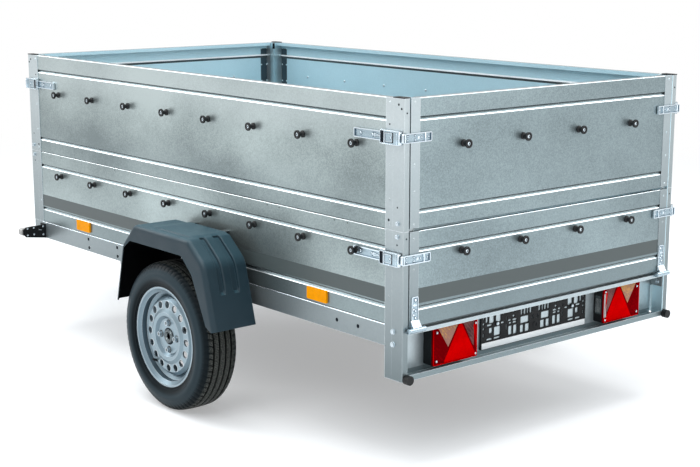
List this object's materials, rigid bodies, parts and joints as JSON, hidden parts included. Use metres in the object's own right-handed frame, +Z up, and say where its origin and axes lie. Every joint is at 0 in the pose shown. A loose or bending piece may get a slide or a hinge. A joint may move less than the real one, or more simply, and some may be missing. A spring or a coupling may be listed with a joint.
{
  "type": "single-axle box utility trailer",
  "caption": "Single-axle galvanised box trailer with raised sides, hinged tailgates, a V drawbar with ball coupling and a jockey wheel.",
  "frame": {"origin": "on the ground under the middle of the whole trailer's box", "axes": "+X forward to the coupling, +Y to the left side, +Z up"},
  "size_m": [3.3565, 1.751, 1.19],
  "materials": {
    "galvanised": "galvanised sheet, fine spangle",
    "zinc": "bright zinc plate",
    "plywood": "phenolic film, fine mesh",
    "black_plastic": "moulded",
    "black_rubber": "matt",
    "red_lens": "clear red",
    "amber_lens": "clear amber",
    "clear_lens": "clear",
    "tyre": "matt",
    "wheel_steel": "silver paint",
    "jockey_rubber": "matt"
  },
  "bodies": {
    "chassis": {"side_rails": "galvanised", "cross_members": "galvanised", "rear_beam": "galvanised", "floor_board": "plywood", "drawbar_arms": "galvanised", "drawbar_brackets": "zinc", "coupling_head": "zinc", "coupling_handle": "black_plastic", "jockey_clamp": "zinc", "jockey_tube": "zinc", "axle_tube": "galvanised", "swing_arms": "galvanised", "side_panels_lower": "galvanised", "side_panels_upper": "galvanised", "front_panel_lower": "galvanised", "posts_lower": "galvanised", "posts_upper": "galvanised", "post_caps": "black_plastic", "side_hooks": "black_plastic", "latch_bases": "zinc", "hinge_brackets": "zinc", "mudguards": "black_plastic", "mudguard_brackets": "zinc", "tail_lamp_housings": "black_plastic", "tail_lamp_lenses": "red_lens", "plate_holder": "black_plastic", "rear_buffers": "black_rubber", "side_reflectors": "amber_lens", "position_lamp_brackets": "black_plastic", "position_lamps": "clear_lens"},
    "tailgate_lower": {"tailgate_lower_panel": "galvanised", "tailgate_lower_hooks": "black_plastic", "tailgate_lower_hinges": "zinc", "tailgate_lower_straps": "zinc"},
    "tailgate_upper": {"tailgate_upper_panel": "galvanised", "tailgate_upper_hooks": "black_plastic", "tailgate_upper_straps": "zinc"},
    "front_gate": {"front_gate_panel": "galvanised", "front_gate_hooks": "black_plastic", "front_gate_straps": "zinc"},
    "wheel_left": {"tyre_left": "tyre", "rim_left": "wheel_steel", "hub_left": "zinc"},
    "wheel_right": {"tyre_right": "tyre", "rim_right": "wheel_steel", "hub_right": "zinc"},
    "jockey_leg": {"jockey_leg": "zinc"},
    "jockey_fork": {"jockey_fork": "zinc"},
    "jockey_wheel": {"jockey_wheel": "jockey_rubber"}
  },
  "joints": [
    {"name": "wheel_left_spin", "type": "hinge", "parent": "chassis", "child": "wheel_left", "pos_m": [-0.618, 0.789, 0.269], "axis": [0, 1, 0], "continuous": true},
    {"name": "wheel_right_spin", "type": "hinge", "parent": "chassis", "child": "wheel_right", "pos_m": [-0.618, -0.789, 0.269], "axis": [0, 1, 0], "continuous": true},
    {"name": "tailgate_lower_hinge", "type": "hinge", "parent": "chassis", "child": "tailgate_lower", "pos_m": [-1.667, 0, 0.471], "axis": [0, -1, 0], "range_deg": [0, 175]},
    {"name": "tailgate_upper_hinge", "type": "hinge", "parent": "chassis", "child": "tailgate_upper", "pos_m": [-1.6485, 0, 0.7897], "axis": [0, -1, 0], "range_deg": [0, 90]},
    {"name": "front_gate_hinge", "type": "hinge", "parent": "chassis", "child": "front_gate", "pos_m": [0.6985, 0, 0.7897], "axis": [0, 1, 0], "range_deg": [0, 90]},
    {"name": "jockey_lift", "type": "slide", "parent": "chassis", "child": "jockey_leg", "axis": [0, 0, 1], "range_m": [-0.04, 0.12]},
    {"name": "jockey_swivel", "type": "hinge", "parent": "jockey_leg", "child": "jockey_fork", "pos_m": [1.005, 0, 0.222], "axis": [0, 0, 1], "continuous": true},
    {"name": "jockey_wheel_spin", "type": "hinge", "parent": "jockey_fork", "child": "jockey_wheel", "pos_m": [0.967, 0, 0.1], "axis": [0, 1, 0], "continuous": true}
  ]
}
